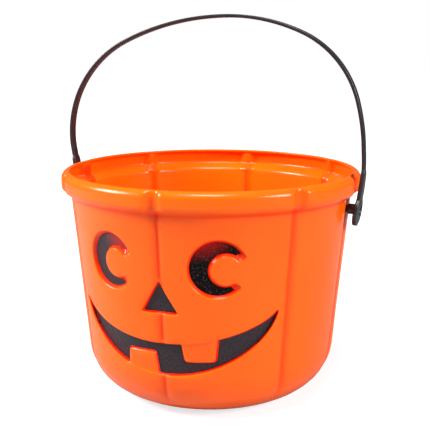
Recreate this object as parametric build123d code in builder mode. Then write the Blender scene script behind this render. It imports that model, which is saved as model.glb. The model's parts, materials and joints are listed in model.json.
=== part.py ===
from build123d import *
import os
from math import atan2, cos, degrees, radians, sin, sqrt, tan

os.makedirs("parts", exist_ok=True)

# Lengths are millimetres and angles degrees. +Z is up, the pail stands on z = 0,
# the face looks along -Y and the bail swings about an axis along X.

# Shell: the pail's height and the collar's radius drive the other sizes
pail_height = 156.4
collar_radius = 105.0
collar_depth = 11.9
collar_slope_height = 4.5
collar_step = 6.4
wall_draw = 13.1
wall_thickness = 1.8
base_corner_radius = 34.5
collar_top_round = 5.6
collar_under_round = 4.2
collar_foot_round = 2.4
lip_width = 5.7
lip_edge_break = 0.7
cutter_margin = 6.0

# Grooves between the lobes, as angles from the middle of the face
groove_angles = (0, 52, 137, 183, 229, 308)
pivot_angles = (90, 270)
seam_angle = 25
groove_depth = 2.0
groove_half_width = 3.8
groove_valley_round = 1.2
groove_wrap = 75
groove_fade = 2.3
groove_margin = 3.0
notch_depth = 4.0
notch_half_width = 5.0
notch_valley_round = 1.6
pivot_notch_depth = 5.0
pivot_notch_half_width = 8.0

# Face recesses: heights are shares of the pail's height, widths shares of the collar's radius
recess_depth = 3.2
panel_thickness = 0.6
panel_bed_gap = 0.03
panel_margin = 0.5
eye_panel_margin = 1.2
eye_tip_margin_share = 3.3
eye_angle = 22.6
eye_height = pail_height * 0.683
eye_radius = 18.6
nose_across = collar_radius * -0.0085
nose_top_height = pail_height * 0.6215
nose_base_height = pail_height * 0.489
nose_half_width = collar_radius * 0.1162
nose_round = 0.8
mouth_roll = 1.4
mouth_across = collar_radius * 0.0226
mouth_half_width = collar_radius * 0.631
mouth_corner_height = pail_height * 0.48
lip_centre_rise = pail_height * 0.053
upper_lip_height = pail_height * 0.3533
lower_lip_height = pail_height * 0.2161
lower_tooth_centre = collar_radius * -0.1458
lower_tooth_root_half_width = collar_radius * 0.1143
lower_tooth_tip_half_width = collar_radius * 0.0962
lower_tooth_tip_height = pail_height * 0.3152
upper_tooth_centre = collar_radius * 0.2247
upper_tooth_root_half_width = collar_radius * 0.1149
upper_tooth_tip_half_width = collar_radius * 0.0898
upper_tooth_tip_height = pail_height * 0.2761
tooth_round = 2.2

# The round island of an eye, and the two tips of the crescent, in shares of the eye's radius
eye_island_radius = eye_radius * 0.538
eye_island_across = eye_radius * 0.285
eye_island_up = eye_radius * -0.054
eye_tip_across = eye_radius * 0.86
eye_upper_tip_up = eye_radius * 0.353
eye_lower_tip_up = eye_radius * -0.79

# Bail: arcs run out from the crown to each side, and the strap stands a little skewed.
# Their radii and the crown's place are shares of the distance from the middle to a paddle.
pivot_drop = 23.4
strap_width = 6.2
strap_thickness = 2.3
strap_line_depth = 0.3
strap_rib_width = 1.6
strap_rib_pitch = 2.3
paddle_tuck = 1.6
paddle_lean = 8.0
paddle_thickness = 2.8
paddle_half_width = 8.0
paddle_half_height = 9.5
paddle_drop = 1.7
neck_width = 8.4
neck_foot_rise = 9.0
neck_rise = 27.0
crown_across_share = 0.1153
crown_rise_share = 1.2194
right_arc_shares = (1.238, 0.657, 1.316)
right_arc_sweeps = (23.7, 50.6, 22.8)
left_arc_shares = (1.762, 0.7524, 0.6894)
left_arc_sweeps = (25.0, 33.2, 51.5)

# Pivot studs
shank_radius = 2.5
running_clearance = 0.08
shoulder_radius = 3.6
stud_head_radius = 4.2
stud_head_length = 2.6
stud_head_taper = 1.0
stud_clearance = 0.4
stud_seat_gap = 0.05
spigot_radius = 3.0
dimple_radius = 1.3
dimple_depth = 1.0

wall_top_radius = collar_radius - collar_step
wall_base_radius = wall_top_radius - wall_draw
lip_radius = collar_radius - lip_width
collar_under_height = pail_height - collar_depth
collar_foot_height = collar_under_height - collar_slope_height
wall_lean = degrees(atan2(wall_draw, collar_foot_height))
pivot_height = pail_height - pivot_drop
paddle_slope = tan(radians(paddle_lean))
paddle_inner = collar_radius - paddle_tuck
paddle_outer = paddle_inner + paddle_thickness / cos(radians(paddle_lean))
paddle_middle = (paddle_inner + paddle_outer) / 2


def wall_radius(height):
    """Outer radius of the plain wall at a height."""
    return wall_base_radius + height * tan(radians(wall_lean))


def inset_corner(before, corner, after, amount):
    """Moves both lines through a corner to their left and returns where they then meet."""
    first = (Vector(*corner) - Vector(*before)).normalized()
    second = (Vector(*after) - Vector(*corner)).normalized()
    first_left = Vector(-first.Y, first.X)
    second_left = Vector(-second.Y, second.X)
    shift = (first_left + second_left) * (amount / (1 + first_left.dot(second_left)))
    return (corner[0] + shift.X, corner[1] + shift.Y)


# Shell profile: base, wall, collar underside, collar face, top
profile_corners = [
    (0, 0),
    (wall_base_radius, 0),
    (wall_top_radius, collar_foot_height),
    (collar_radius, collar_under_height),
    (collar_radius, pail_height),
    (0, pail_height),
]
inner_corners = [inset_corner(*profile_corners[i : i + 3], wall_thickness) for i in range(4)]
outer_rounds = (base_corner_radius, collar_foot_round, collar_under_round, collar_top_round)
inner_rounds = (
    base_corner_radius - wall_thickness,
    collar_foot_round + wall_thickness,
    collar_under_round - wall_thickness,
    collar_top_round - wall_thickness,
)

# The profile is drawn away from every groove, so that no groove runs along the revolved seam
profile_plane = Plane(
    origin=(0, 0, 0),
    x_dir=(cos(radians(seam_angle)), sin(radians(seam_angle)), 0),
    z_dir=(sin(radians(seam_angle)), -cos(radians(seam_angle)), 0),
)

# Groove run: straight down the wall, then round the base corner about an axis set a little
# lower than the corner's own, so that the groove fades out before the base
wall_direction = Vector(sin(radians(wall_lean)), 0, cos(radians(wall_lean)))
corner_tangent = base_corner_radius / tan(radians((90 + wall_lean) / 2))
groove_top_height = collar_foot_height - collar_foot_round
groove_top = Vector(wall_radius(groove_top_height), 0, groove_top_height)
groove_bend = Vector(wall_base_radius, 0, 0) + wall_direction * (corner_tangent - groove_fade)
groove_run = (groove_top - groove_bend).length
corner_normal = Vector(-cos(radians(wall_lean)), 0, sin(radians(wall_lean)))
bend_axis = Axis(groove_bend + corner_normal * base_corner_radius, (0, 1, 0))
groove_top_plane = Plane(origin=groove_top, x_dir=(0, 1, 0), z_dir=wall_direction * -1)
groove_bend_plane = Plane(origin=groove_bend, x_dir=(0, 1, 0), z_dir=wall_direction * -1)
groove_slope = atan2(groove_half_width, groove_depth)
ridge_depth = groove_depth + wall_thickness / sin(groove_slope)
notch_slope = atan2(notch_half_width, notch_depth)
pivot_notch_slope = atan2(pivot_notch_half_width, pivot_notch_depth)


def draw_groove(depth, valley_round):
    """V section of a groove: the surface is at zero and outwards is up."""
    half_width = (depth + groove_margin) * tan(groove_slope)
    corners = [(-half_width, groove_margin), (0, -depth), (half_width, groove_margin)]
    with BuildLine() as section:
        FilletPolyline(*corners, radius=valley_round)
        Line(corners[-1], corners[0])
    make_face(section.edges())


def draw_notch(depth, slope, valley_round):
    """Plan of a collar notch on the +X side: a V that points to the axis."""
    half_width = (depth + cutter_margin) * tan(slope)
    outside = collar_radius + cutter_margin
    corners = [(outside, -half_width), (collar_radius - depth, 0), (outside, half_width)]
    with BuildLine() as plan:
        FilletPolyline(*corners, radius=valley_round)
        Line(corners[-1], corners[0])
    make_face(plan.edges())


with BuildPart() as groove_wall_cutter:
    with BuildSketch(groove_top_plane):
        draw_groove(groove_depth, groove_valley_round)
    extrude(amount=groove_run)

with BuildPart() as groove_bend_cutter:
    with BuildSketch(groove_bend_plane):
        draw_groove(groove_depth, groove_valley_round)
    revolve(axis=bend_axis, revolution_arc=groove_wrap)

with BuildPart() as groove_wall_ridge:
    with BuildSketch(groove_top_plane):
        draw_groove(ridge_depth, groove_valley_round + wall_thickness)
    extrude(amount=groove_run)

with BuildPart() as groove_bend_ridge:
    with BuildSketch(groove_bend_plane):
        draw_groove(ridge_depth, groove_valley_round + wall_thickness)
    revolve(axis=bend_axis, revolution_arc=groove_wrap)

notch_base = Plane.XY.offset(collar_foot_height - cutter_margin)
notch_rise = pail_height + cutter_margin - (collar_foot_height - cutter_margin)

with BuildPart() as notch_cutter:
    with BuildSketch(notch_base):
        draw_notch(notch_depth, notch_slope, notch_valley_round)
    extrude(amount=notch_rise)

with BuildPart() as notch_ridge:
    with BuildSketch(notch_base):
        draw_notch(
            notch_depth + wall_thickness / sin(notch_slope),
            notch_slope,
            notch_valley_round + wall_thickness,
        )
    extrude(amount=notch_rise)

with BuildPart() as pivot_notch_cutter:
    with BuildSketch(notch_base):
        draw_notch(pivot_notch_depth, pivot_notch_slope, notch_valley_round)
    extrude(amount=notch_rise)

with BuildPart() as pivot_notch_ridge:
    with BuildSketch(notch_base):
        draw_notch(
            pivot_notch_depth + wall_thickness / sin(pivot_notch_slope),
            pivot_notch_slope,
            notch_valley_round + wall_thickness,
        )
    extrude(amount=notch_rise)


def face_plane(angle, height, roll=0):
    """Plane outside the wall that faces outwards at an angle from the middle of the face."""
    outwards = Vector(sin(radians(angle)), -cos(radians(angle)), 0)
    level = Vector(cos(radians(angle)), sin(radians(angle)), 0)
    sideways = level * cos(radians(roll)) + Vector(0, 0, sin(radians(roll)))
    return Plane(origin=outwards * collar_radius + Vector(0, 0, height), x_dir=sideways, z_dir=outwards)


left_eye_plane = face_plane(-eye_angle, eye_height)
right_eye_plane = face_plane(eye_angle, eye_height)
nose_plane = face_plane(0, 0)
mouth_middle_height = (upper_lip_height + lower_lip_height) / 2
mouth_plane = face_plane(0, mouth_middle_height, mouth_roll)


def grow_outline(corners, amount):
    """Moves each side of an anticlockwise outline outwards by an amount."""
    count = len(corners)
    return [
        inset_corner(corners[i - 1], corners[i], corners[(i + 1) % count], -amount) for i in range(count)
    ]


def lip_axes(lip_height):
    """Half-axes of the ellipse through a lip's middle and both mouth corners."""
    half_height = mouth_corner_height + lip_centre_rise - lip_height
    half_width = mouth_half_width / sqrt(1 - (lip_centre_rise / half_height) ** 2)
    return half_width, half_height


def draw_eye(grow):
    """Crescent: a disc less a round island that opens to the right. A smaller one has blunter tips."""
    tip_grow = grow if grow > 0 else grow * eye_tip_margin_share
    opening = eye_radius + cutter_margin
    reach_share = (opening - eye_island_across) / (eye_tip_across - eye_island_across)
    upper = eye_island_up + (eye_upper_tip_up - eye_island_up) * reach_share
    lower = eye_island_up + (eye_lower_tip_up - eye_island_up) * reach_share
    corners = [(eye_island_across, eye_island_up), (opening, lower), (opening, upper)]
    Circle(eye_radius + grow)
    with Locations((eye_island_across, eye_island_up)):
        Circle(eye_island_radius - grow, mode=Mode.SUBTRACT)
    with BuildLine() as island_mouth:
        Polyline(*grow_outline(corners, -tip_grow), close=True)
    make_face(island_mouth.edges(), mode=Mode.SUBTRACT)


def draw_nose(grow):
    """Upright triangle with rounded corners."""
    corners = [
        (nose_across, nose_top_height),
        (nose_across - nose_half_width, nose_base_height),
        (nose_across + nose_half_width, nose_base_height),
    ]
    with BuildLine() as triangle:
        FilletPolyline(*grow_outline(corners, grow), radius=nose_round + grow, close=True)
    make_face(triangle.edges())


def draw_tooth(corners, grow):
    """Takes a tooth with rounded tip corners out of the sketch: corners anticlockwise from a root."""
    outline = grow_outline(corners, -grow)
    with BuildLine() as tooth:
        FilletPolyline(*outline, radius=tooth_round - grow)
        Line(outline[-1], outline[0])
    make_face(tooth.edges(), mode=Mode.SUBTRACT)


def draw_mouth(grow):
    """Grin between two elliptical lips, less one tooth from below and one from above."""
    lower_half_width, lower_half_height = lip_axes(lower_lip_height)
    upper_half_width, upper_half_height = lip_axes(upper_lip_height)
    above = (Align.CENTER, Align.MIN)
    with Locations((mouth_across, mouth_corner_height + lip_centre_rise - mouth_middle_height)):
        Ellipse(lower_half_width + grow, lower_half_height + grow)
        Ellipse(upper_half_width - grow, upper_half_height - grow, mode=Mode.SUBTRACT)
        cover_width = 2 * (lower_half_width + cutter_margin)
        Rectangle(cover_width, lower_half_height + cutter_margin, align=above, mode=Mode.SUBTRACT)
    lower_root = lower_lip_height - cutter_margin - mouth_middle_height
    upper_root = upper_lip_height + cutter_margin - mouth_middle_height
    lower_tip = lower_tooth_tip_height - mouth_middle_height
    upper_tip = upper_tooth_tip_height - mouth_middle_height
    lower_corners = [
        (lower_tooth_centre + lower_tooth_root_half_width, lower_root),
        (lower_tooth_centre + lower_tooth_tip_half_width, lower_tip),
        (lower_tooth_centre - lower_tooth_tip_half_width, lower_tip),
        (lower_tooth_centre - lower_tooth_root_half_width, lower_root),
    ]
    upper_corners = [
        (upper_tooth_centre - upper_tooth_root_half_width, upper_root),
        (upper_tooth_centre - upper_tooth_tip_half_width, upper_tip),
        (upper_tooth_centre + upper_tooth_tip_half_width, upper_tip),
        (upper_tooth_centre + upper_tooth_root_half_width, upper_root),
    ]
    draw_tooth(lower_corners, grow)
    draw_tooth(upper_corners, grow)


mouth_reach = collar_radius * 0.6
eye_reach = collar_radius * 0.25
face_drawings = {
    "left_eye": (left_eye_plane, draw_eye, eye_reach, eye_panel_margin),
    "right_eye": (right_eye_plane, draw_eye, eye_reach, eye_panel_margin),
    "nose": (nose_plane, draw_nose, eye_reach, panel_margin),
    "mouth": (mouth_plane, draw_mouth, mouth_reach, panel_margin),
}
on_base = (Align.CENTER, Align.CENTER, Align.MIN)


def inner_cone(depth):
    """Radii at the base plane and the collar foot, and height, of a cone set into the wall by a depth."""
    step = depth / cos(radians(wall_lean))
    return wall_base_radius - step, wall_top_radius - step, collar_foot_height


with BuildPart() as recess_cut:
    for plane, draw, reach, margin in face_drawings.values():
        with BuildSketch(plane):
            draw(0)
        extrude(amount=-reach)
    Cone(*inner_cone(recess_depth), align=on_base, mode=Mode.SUBTRACT)

with BuildPart() as recess_back:
    for plane, draw, reach, margin in face_drawings.values():
        with BuildSketch(plane):
            draw(wall_thickness)
        extrude(amount=-reach)
    Cone(*inner_cone(recess_depth + wall_thickness), align=on_base, mode=Mode.SUBTRACT)

with BuildPart() as outer_form:
    with BuildSketch(profile_plane):
        with BuildLine():
            Polyline(*profile_corners, close=True)
        make_face()
        for corner, size in zip(profile_corners[1:5], outer_rounds):
            fillet(vertices().sort_by_distance(corner)[0], radius=size)
    revolve(axis=Axis.Z)
    for angle in groove_angles:
        add(notch_cutter.part, rotation=(0, 0, angle - 90), mode=Mode.SUBTRACT)
    for angle in pivot_angles:
        add(pivot_notch_cutter.part, rotation=(0, 0, angle - 90), mode=Mode.SUBTRACT)
    for angle in groove_angles + pivot_angles:
        add(groove_wall_cutter.part, rotation=(0, 0, angle - 90), mode=Mode.SUBTRACT)
        add(groove_bend_cutter.part, rotation=(0, 0, angle - 90), mode=Mode.SUBTRACT)
    add(recess_cut.part, mode=Mode.SUBTRACT)

with BuildPart() as cavity:
    with BuildSketch(profile_plane):
        with BuildLine():
            Polyline(
                (0, wall_thickness),
                *inner_corners,
                (lip_radius, pail_height - wall_thickness),
                (lip_radius, pail_height - lip_edge_break),
                (lip_radius + lip_edge_break, pail_height),
                (lip_radius + lip_edge_break, pail_height + cutter_margin),
                (0, pail_height + cutter_margin),
                close=True,
            )
        make_face()
        for corner, size in zip(inner_corners, inner_rounds):
            fillet(vertices().sort_by_distance(corner)[0], radius=size)
    revolve(axis=Axis.Z)
    for angle in groove_angles:
        add(notch_ridge.part, rotation=(0, 0, angle - 90), mode=Mode.SUBTRACT)
    for angle in pivot_angles:
        add(pivot_notch_ridge.part, rotation=(0, 0, angle - 90), mode=Mode.SUBTRACT)
    for angle in groove_angles + pivot_angles:
        add(groove_wall_ridge.part, rotation=(0, 0, angle - 90), mode=Mode.SUBTRACT)
        add(groove_bend_ridge.part, rotation=(0, 0, angle - 90), mode=Mode.SUBTRACT)
    add(recess_back.part, mode=Mode.SUBTRACT)

with BuildPart() as pail_shell:
    add(outer_form.part)
    add(cavity.part, mode=Mode.SUBTRACT)
    with BuildSketch(Plane.YZ):
        with Locations((0, pivot_height)):
            Circle(shank_radius + running_clearance)
    extrude(amount=collar_radius, both=True, mode=Mode.SUBTRACT)
pail_shell.part.label = "pail_shell"
export_step(pail_shell.part, "parts/pail_shell.step")

# Black panels bedded on the recess floors
panel_back = recess_depth - panel_bed_gap
panel_front = panel_back - panel_thickness
for name, (plane, draw, reach, margin) in face_drawings.items():
    with BuildPart() as panel:
        with BuildSketch(plane):
            draw(-margin)
        extrude(amount=-reach)
        Cone(*inner_cone(panel_front), align=on_base, mode=Mode.INTERSECT)
        Cone(*inner_cone(panel_back), align=on_base, mode=Mode.SUBTRACT)
    panel.part.label = name + "_panel"
    export_step(panel.part, "parts/" + name + "_panel.step")

# Bail: a ribbed strap with a paddle on each end
def draw_strap(thickness):
    """Side view of the strap: a band of one thickness along the arcs on both sides of the crown."""
    crown = Vector(paddle_middle * crown_across_share, pivot_height + paddle_middle * crown_rise_share)
    with BuildLine() as centre_line:
        point, heading = crown, Vector(1, 0)
        for share, sweep_angle in zip(right_arc_shares, right_arc_sweeps):
            run = JernArc(point, heading, paddle_middle * share, -sweep_angle)
            point, heading = run @ 1, run % 1
        point, heading = crown, Vector(-1, 0)
        for share, sweep_angle in zip(left_arc_shares, left_arc_sweeps):
            run = JernArc(point, heading, paddle_middle * share, sweep_angle)
            point, heading = run @ 1, run % 1
    trace(centre_line.edges(), line_width=thickness)


def paddle_plane(side):
    """Inner face of a paddle: it leans with the wall and looks outwards through the pivot."""
    lean = radians(paddle_lean)
    return Plane(
        origin=(side * paddle_inner, 0, pivot_height),
        x_dir=(0, side, 0),
        z_dir=(side * cos(lean), 0, -sin(lean)),
    )


def draw_paddle():
    """Outline of one paddle and its neck about the pivot."""
    with Locations((0, -paddle_drop)):
        Ellipse(paddle_half_width, paddle_half_height)
    with Locations((0, neck_foot_rise)):
        Circle(neck_width / 2)
    make_hull()
    with Locations((0, neck_foot_rise)):
        Rectangle(neck_width, neck_rise - neck_foot_rise, align=(Align.CENTER, Align.MIN))


with BuildPart() as bail_strap:
    with BuildSketch(Plane.XZ):
        draw_strap(strap_thickness - 2 * strap_line_depth)
    extrude(amount=strap_width / 2, both=True)
    for rib_offset in (-strap_rib_pitch, 0, strap_rib_pitch):
        with BuildSketch(Plane.XZ.offset(rib_offset)):
            draw_strap(strap_thickness)
        extrude(amount=strap_rib_width / 2, both=True)
    for side in (1, -1):
        with BuildSketch(paddle_plane(side)):
            draw_paddle()
        extrude(amount=paddle_thickness)
    with BuildSketch(Plane.YZ):
        with Locations((0, pivot_height)):
            Circle(spigot_radius)
    extrude(amount=paddle_outer + cutter_margin, both=True, mode=Mode.SUBTRACT)
bail_strap.part.label = "bail_strap"
export_step(bail_strap.part, "parts/bail_strap.step")

# Push-in pivot studs
head_face = wall_radius(pivot_height - stud_head_radius) - ridge_depth - stud_clearance
head_end = head_face - stud_head_length
shoulder_face = wall_radius(pivot_height + shoulder_radius) + stud_clearance
shoulder_end = paddle_inner - shoulder_radius * paddle_slope - stud_seat_gap
spigot_end = paddle_outer - spigot_radius * paddle_slope
stud_axis = Axis((0, 0, pivot_height), (1, 0, 0))

with BuildPart() as right_pivot_stud:
    with BuildSketch(Plane(origin=(0, 0, pivot_height), x_dir=(1, 0, 0), z_dir=(0, -1, 0))):
        with BuildLine():
            Polyline(
                (head_end, 0),
                (head_end, stud_head_radius - stud_head_taper),
                (head_face - stud_head_taper, stud_head_radius),
                (head_face, stud_head_radius),
                (head_face, shank_radius),
                (shoulder_face, shank_radius),
                (shoulder_face, shoulder_radius),
                (shoulder_end, shoulder_radius),
                (shoulder_end, spigot_radius),
                (spigot_end, spigot_radius),
                (spigot_end, dimple_radius),
                (spigot_end - dimple_depth, dimple_radius),
                (spigot_end - dimple_depth, 0),
                close=True,
            )
        make_face()
    revolve(axis=stud_axis)
right_pivot_stud.part.label = "right_pivot_stud"
export_step(right_pivot_stud.part, "parts/right_pivot_stud.step")

with BuildPart() as left_pivot_stud:
    add(right_pivot_stud.part, rotation=(0, 0, 180))
left_pivot_stud.part.label = "left_pivot_stud"
export_step(left_pivot_stud.part, "parts/left_pivot_stud.step")
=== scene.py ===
# %% [markdown]
# # A pumpkin candy pail
# The pail is one orange moulding with a face pressed into it, four black panels in the
# bottom of the face, and a black strap that swings on two studs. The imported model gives
# the sizes and the joints. Here each piece gets the soft edges and the finish of the real one.

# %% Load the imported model
import json
from cmath import exp, phase
from math import acos, atan2, ceil, cos, degrees, pi, radians, sin, sqrt, tan

import bpy
import numpy as np
from mathutils.geometry import delaunay_2d_cdt
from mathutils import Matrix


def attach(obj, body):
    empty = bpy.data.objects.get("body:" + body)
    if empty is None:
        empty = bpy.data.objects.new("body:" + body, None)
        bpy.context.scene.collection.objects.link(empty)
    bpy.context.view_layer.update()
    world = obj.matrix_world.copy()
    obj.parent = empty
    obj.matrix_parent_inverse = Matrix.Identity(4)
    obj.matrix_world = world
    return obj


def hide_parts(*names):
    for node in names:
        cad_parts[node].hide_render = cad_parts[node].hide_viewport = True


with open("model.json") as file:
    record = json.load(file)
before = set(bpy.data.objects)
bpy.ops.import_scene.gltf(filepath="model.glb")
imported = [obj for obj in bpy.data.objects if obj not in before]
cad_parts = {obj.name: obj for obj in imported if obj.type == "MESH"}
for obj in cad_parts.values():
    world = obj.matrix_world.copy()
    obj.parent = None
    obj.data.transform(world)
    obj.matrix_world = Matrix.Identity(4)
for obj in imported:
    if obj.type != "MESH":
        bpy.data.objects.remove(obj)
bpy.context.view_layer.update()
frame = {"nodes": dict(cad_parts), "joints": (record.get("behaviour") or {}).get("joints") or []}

pivot_height = frame["joints"][0]["pos_m"][2] * 1000
print("the bail turns at a height of", round(pivot_height, 2), "mm")

# %% [markdown]
# ## The camera
# It stands a little above the rim and twenty degrees round to the right of the face. A
# 70 mm lens on Blender's 36 mm sensor gives the mild perspective of a studio shot.

# %% Camera
camera = bpy.data.objects.new("camera", bpy.data.cameras.new("camera"))
camera.data.lens = 70.0
camera.location = (0.20385, -0.55207, 0.24334)
camera.rotation_euler = (radians(78.31), 0, radians(20))
bpy.context.scene.collection.objects.link(camera)
bpy.context.scene.camera = camera
print("camera at", tuple(round(c, 3) for c in camera.location))

# %% [markdown]
# ## The pail's section
# A moulded pail is a wall of one thickness, so its section is one line that runs out along
# the base, up the wall, round the collar to the lip, and back down the inside. A line of
# corners is easy to read against a drawing, and rounding each corner by its own radius
# gives the soft edges. A point is a complex number here: real is the radius and imaginary
# the height, which makes turning and shifting short to write. Lengths are millimetres.

# %% Section sizes
rim_height = 156.4
collar_radius = 105.0
lip_radius = 99.3
collar_under_height = 144.5
wall_top = 98.6 + 140.0j
wall_base = 85.5 + 0j
wall_thickness = 1.8
wall_slope = (wall_top.real - wall_base.real) / wall_top.imag


def wall_radius(height):
    """Outer radius of the plain wall."""
    return wall_base.real + height * wall_slope


def inset(before, corner, after, amount):
    """A corner moved to the left of both lines that meet there."""
    first = 1j * (corner - before) / abs(corner - before)
    second = 1j * (after - corner) / abs(after - corner)
    return corner + amount * (first + second) / (1 + (first * second.conjugate()).real)


outside = [0j, wall_base, wall_top, complex(collar_radius, collar_under_height)]
outside += [complex(collar_radius, rim_height), complex(0, rim_height)]
inside = [inset(*outside[i:i + 3], wall_thickness) for i in range(4)]
lip = [complex(lip_radius, rim_height), complex(lip_radius, rim_height - wall_thickness)]
section_corners = outside[:5] + lip + inside[::-1] + [1j * wall_thickness]
section_rounds = [34.5, 2.4, 4.2, 4.9, 0.75, 0.75, 3.8, 2.4, 4.2, 32.7]
print("section corners:", len(section_corners))

# %% [markdown]
# Each corner becomes an arc of short steps. The straight wall then gets a row every three
# millimetres, because the grooves and the face need points to hold on to.

# %% Round the section
def rounded_line(corners, rounds, turn=9):
    """Points of a line whose inner corners are rounded."""
    line = [corners[0]]
    for before, corner, after, radius in zip(corners, corners[1:], corners[2:], rounds):
        back = (before - corner) / abs(before - corner)
        ahead = (after - corner) / abs(after - corner)
        half = acos((back * ahead.conjugate()).real) / 2
        centre = corner + (back + ahead) / abs(back + ahead) * radius / sin(half)
        start = corner + back * radius / tan(half) - centre
        sweep = phase((corner + ahead * radius / tan(half) - centre) / start)
        steps = ceil(abs(degrees(sweep)) / turn)
        line += [centre + start * exp(1j * sweep * step / steps) for step in range(steps + 1)]
    return line + [corners[-1]]


face_low, face_high = 32.0, 131.0
hole_low, hole_high = 128.0, 138.2
row_step, row_above_face = 3.0, 134.6
wall_rows = list(np.arange(face_low, face_high + row_step / 2, row_step)) + [row_above_face, hole_high]
straight_rise, longest_run = 60.0, 9.0


def with_rows(line):
    """Adds rows to the straight wall, and even steps to the other long runs."""
    full = [line[0]]
    for start, end in zip(line, line[1:]):
        rise = end.imag - start.imag
        if abs(rise) > straight_rise:
            shares = sorted((row - start.imag) / rise for row in wall_rows)
        else:
            pieces = ceil(abs(end - start) / longest_run)
            shares = [k / pieces for k in range(1, pieces)]
        full += [start + (end - start) * share for share in shares] + [end]
    return np.array(full)


section = with_rows(rounded_line(section_corners, section_rounds))
turn_back = int(np.argmin(abs(section - lip[1])))
print("section points:", len(section))

# %% [markdown]
# ## Grooves and notches
# Eight soft grooves part the pumpkin's lobes, and each runs up into a flat-bottomed notch
# in the collar. The two at the bail are wider, to clear the paddles. A groove could be cut
# with a boolean, but a moulded groove has no hard edge, so the wall is pushed in by a
# smooth curve of the distance from the groove's middle. The columns of the mesh stand
# close together there and far apart between.

# %% Where the columns stand
groove_angles = [0, 52, 137, 183, 229, 308]
pivot_angles = [90, 270]
groove_steps = [0, 0.45, 0.9, 1.4, 1.9, 2.5, 3.1, 3.8, 4.6, 5.5, 6.6, 8.0]
pivot_steps = [0, 0.6, 1.2, 1.9, 2.6, 3.4, 4.4, 5.5, 6.1, 6.7, 7.3, 7.9, 8.6, 9.5, 10.8]
face_edge = 66.0
column_radius, widest_column = 98.0, 2.6


def stand_columns():
    """Angles of the mesh columns, in degrees from the middle of the face."""
    angles = {face_edge, 360 - face_edge}
    for middle_angles, steps in ((groove_angles, groove_steps), (pivot_angles, pivot_steps)):
        for middle in middle_angles:
            for step in steps:
                shift = degrees(step / column_radius)
                angles |= {round((middle + sign * shift) % 360, 6) for sign in (1, -1)}
    angles = sorted(angles)
    full = []
    for angle, after in zip(angles, angles[1:] + [angles[0] + 360]):
        pieces = ceil((after - angle) / widest_column)
        full += [angle + (after - angle) * k / pieces for k in range(pieces)]
    return np.array([a - 360 if a > 180 else a for a in full])


columns = np.sort(stand_columns())
print("columns:", len(columns))

# %% [markdown]
# A groove is a wide soft dip with a narrow one in its middle. A notch has a depth, a
# half-width and the length of its flanks.

# %% How deep the wall is pushed in
groove_dips = [(1.5, 2.7), (0.55, 0.9)]
plain_notch = (3.6, 3.7, 1.9)
pivot_notch = (4.8, 6.9, 1.8)


def ease(low, high, value):
    """Rises smoothly from 0 to 1 between two values."""
    share = np.clip((value - low) / (high - low), 0, 1)
    return share * share * (3 - 2 * share)


def across(angle, middle, radius):
    """Distance along the wall from the middle of a groove."""
    return np.radians((angle - middle + 180) % 360 - 180) * radius


def groove_depth(angle, radius):
    """Depth of the wall's grooves at an angle."""
    places = [across(angle, middle, radius) for middle in groove_angles + pivot_angles]
    depths = [sum(depth / np.cosh(place / width) ** 2 for depth, width in groove_dips) for place in places]
    return np.max(depths, axis=0)


def channel(distance, half_width, flank):
    """1 in the flat bottom of a channel, falling smoothly to 0 up its flanks."""
    return (np.tanh((distance + half_width) / flank) - np.tanh((distance - half_width) / flank)) / 2


def notch_depth(angle, radius, middles, notch):
    """Depth at an angle of the collar's notches of one kind."""
    depth, half_width, flank = notch
    return np.max([depth * channel(across(angle, m, radius), half_width, flank) for m in middles], axis=0)


print("groove at its middle:", round(float(groove_depth(52, 95)), 2), "mm")

# %% [markdown]
# The push is level on the wall, swings round with the base corner and dies away before the
# base. On the collar it is level again and dies away towards the lip, so the lip stays round.
# The inside is pushed by the same amount, because a moulded wall keeps its thickness.

# %% How the push is shared along the section
along = np.gradient(section)
outwards = -1j * along / abs(along)
outwards[turn_back:] *= -1
lean = atan2(wall_slope, 1)
straight_height, straight_bend = 100.0, 0.02
corner_fade = 1.15
notch_start, collar_side_top, lip_margin = 138.4, 148.0, 0.8
below = section.imag < straight_height
bend = np.where(below, np.arcsin(np.clip(-outwards.imag, -1, 1)) - lean, 0.0)
bend = np.where(abs(bend) < straight_bend, 0.0, bend)
notch_share = ease(notch_start, collar_under_height, section.imag)
groove_share = ease(0, 1, 1 - corner_fade * np.sin(bend)) * (1 - notch_share)
outer_face = np.where(np.arange(len(section)) < turn_back, collar_radius, collar_radius - wall_thickness)
still = lip_radius + lip_margin
near_lip = np.clip((section.real - still) / (outer_face - still), 0, 1)
notch_share = np.where(section.imag > collar_side_top, notch_share * near_lip, notch_share)
print("section points that a groove pushes:", int(np.sum(groove_share > 0)))

# %% [markdown]
# A Screw modifier turns a section too, but then every angle looks alike. Here the push differs
# from angle to angle, so the points are worked out as one grid of section points and columns.

# %% Turn the section into a grid
def on_round(radius, turn, height):
    """Points at a radius and a height, turned from the middle of the face."""
    return np.stack([radius * np.sin(turn), -radius * np.cos(turn), height], axis=-1)


angle_grid = columns[None, :]
radius_grid = section.real[:, None]
groove_grid = groove_depth(angle_grid, radius_grid) * groove_share[:, None]
plain_grid = notch_depth(angle_grid, radius_grid, groove_angles, plain_notch) * notch_share[:, None]
pivot_grid = notch_depth(angle_grid, radius_grid, pivot_angles, pivot_notch) * notch_share[:, None]
notch_grid = np.maximum(plain_grid, pivot_grid)
pushed_radius = radius_grid - groove_grid * np.cos(bend)[:, None] - notch_grid
pushed_height = section.imag[:, None] + groove_grid * np.sin(bend)[:, None]
grid = on_round(pushed_radius, np.radians(angle_grid), pushed_height)
print("grid:", grid.shape[:2])

# %% [markdown]
# Smooth shading needs a normal at each point. On a grid it is the cross product of the two
# directions along it, which is cleaner than the average of uneven faces.

# %% Normals of a grid
def unit(vectors):
    return vectors / np.maximum(np.linalg.norm(vectors, axis=-1, keepdims=True), 1e-9)


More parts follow.
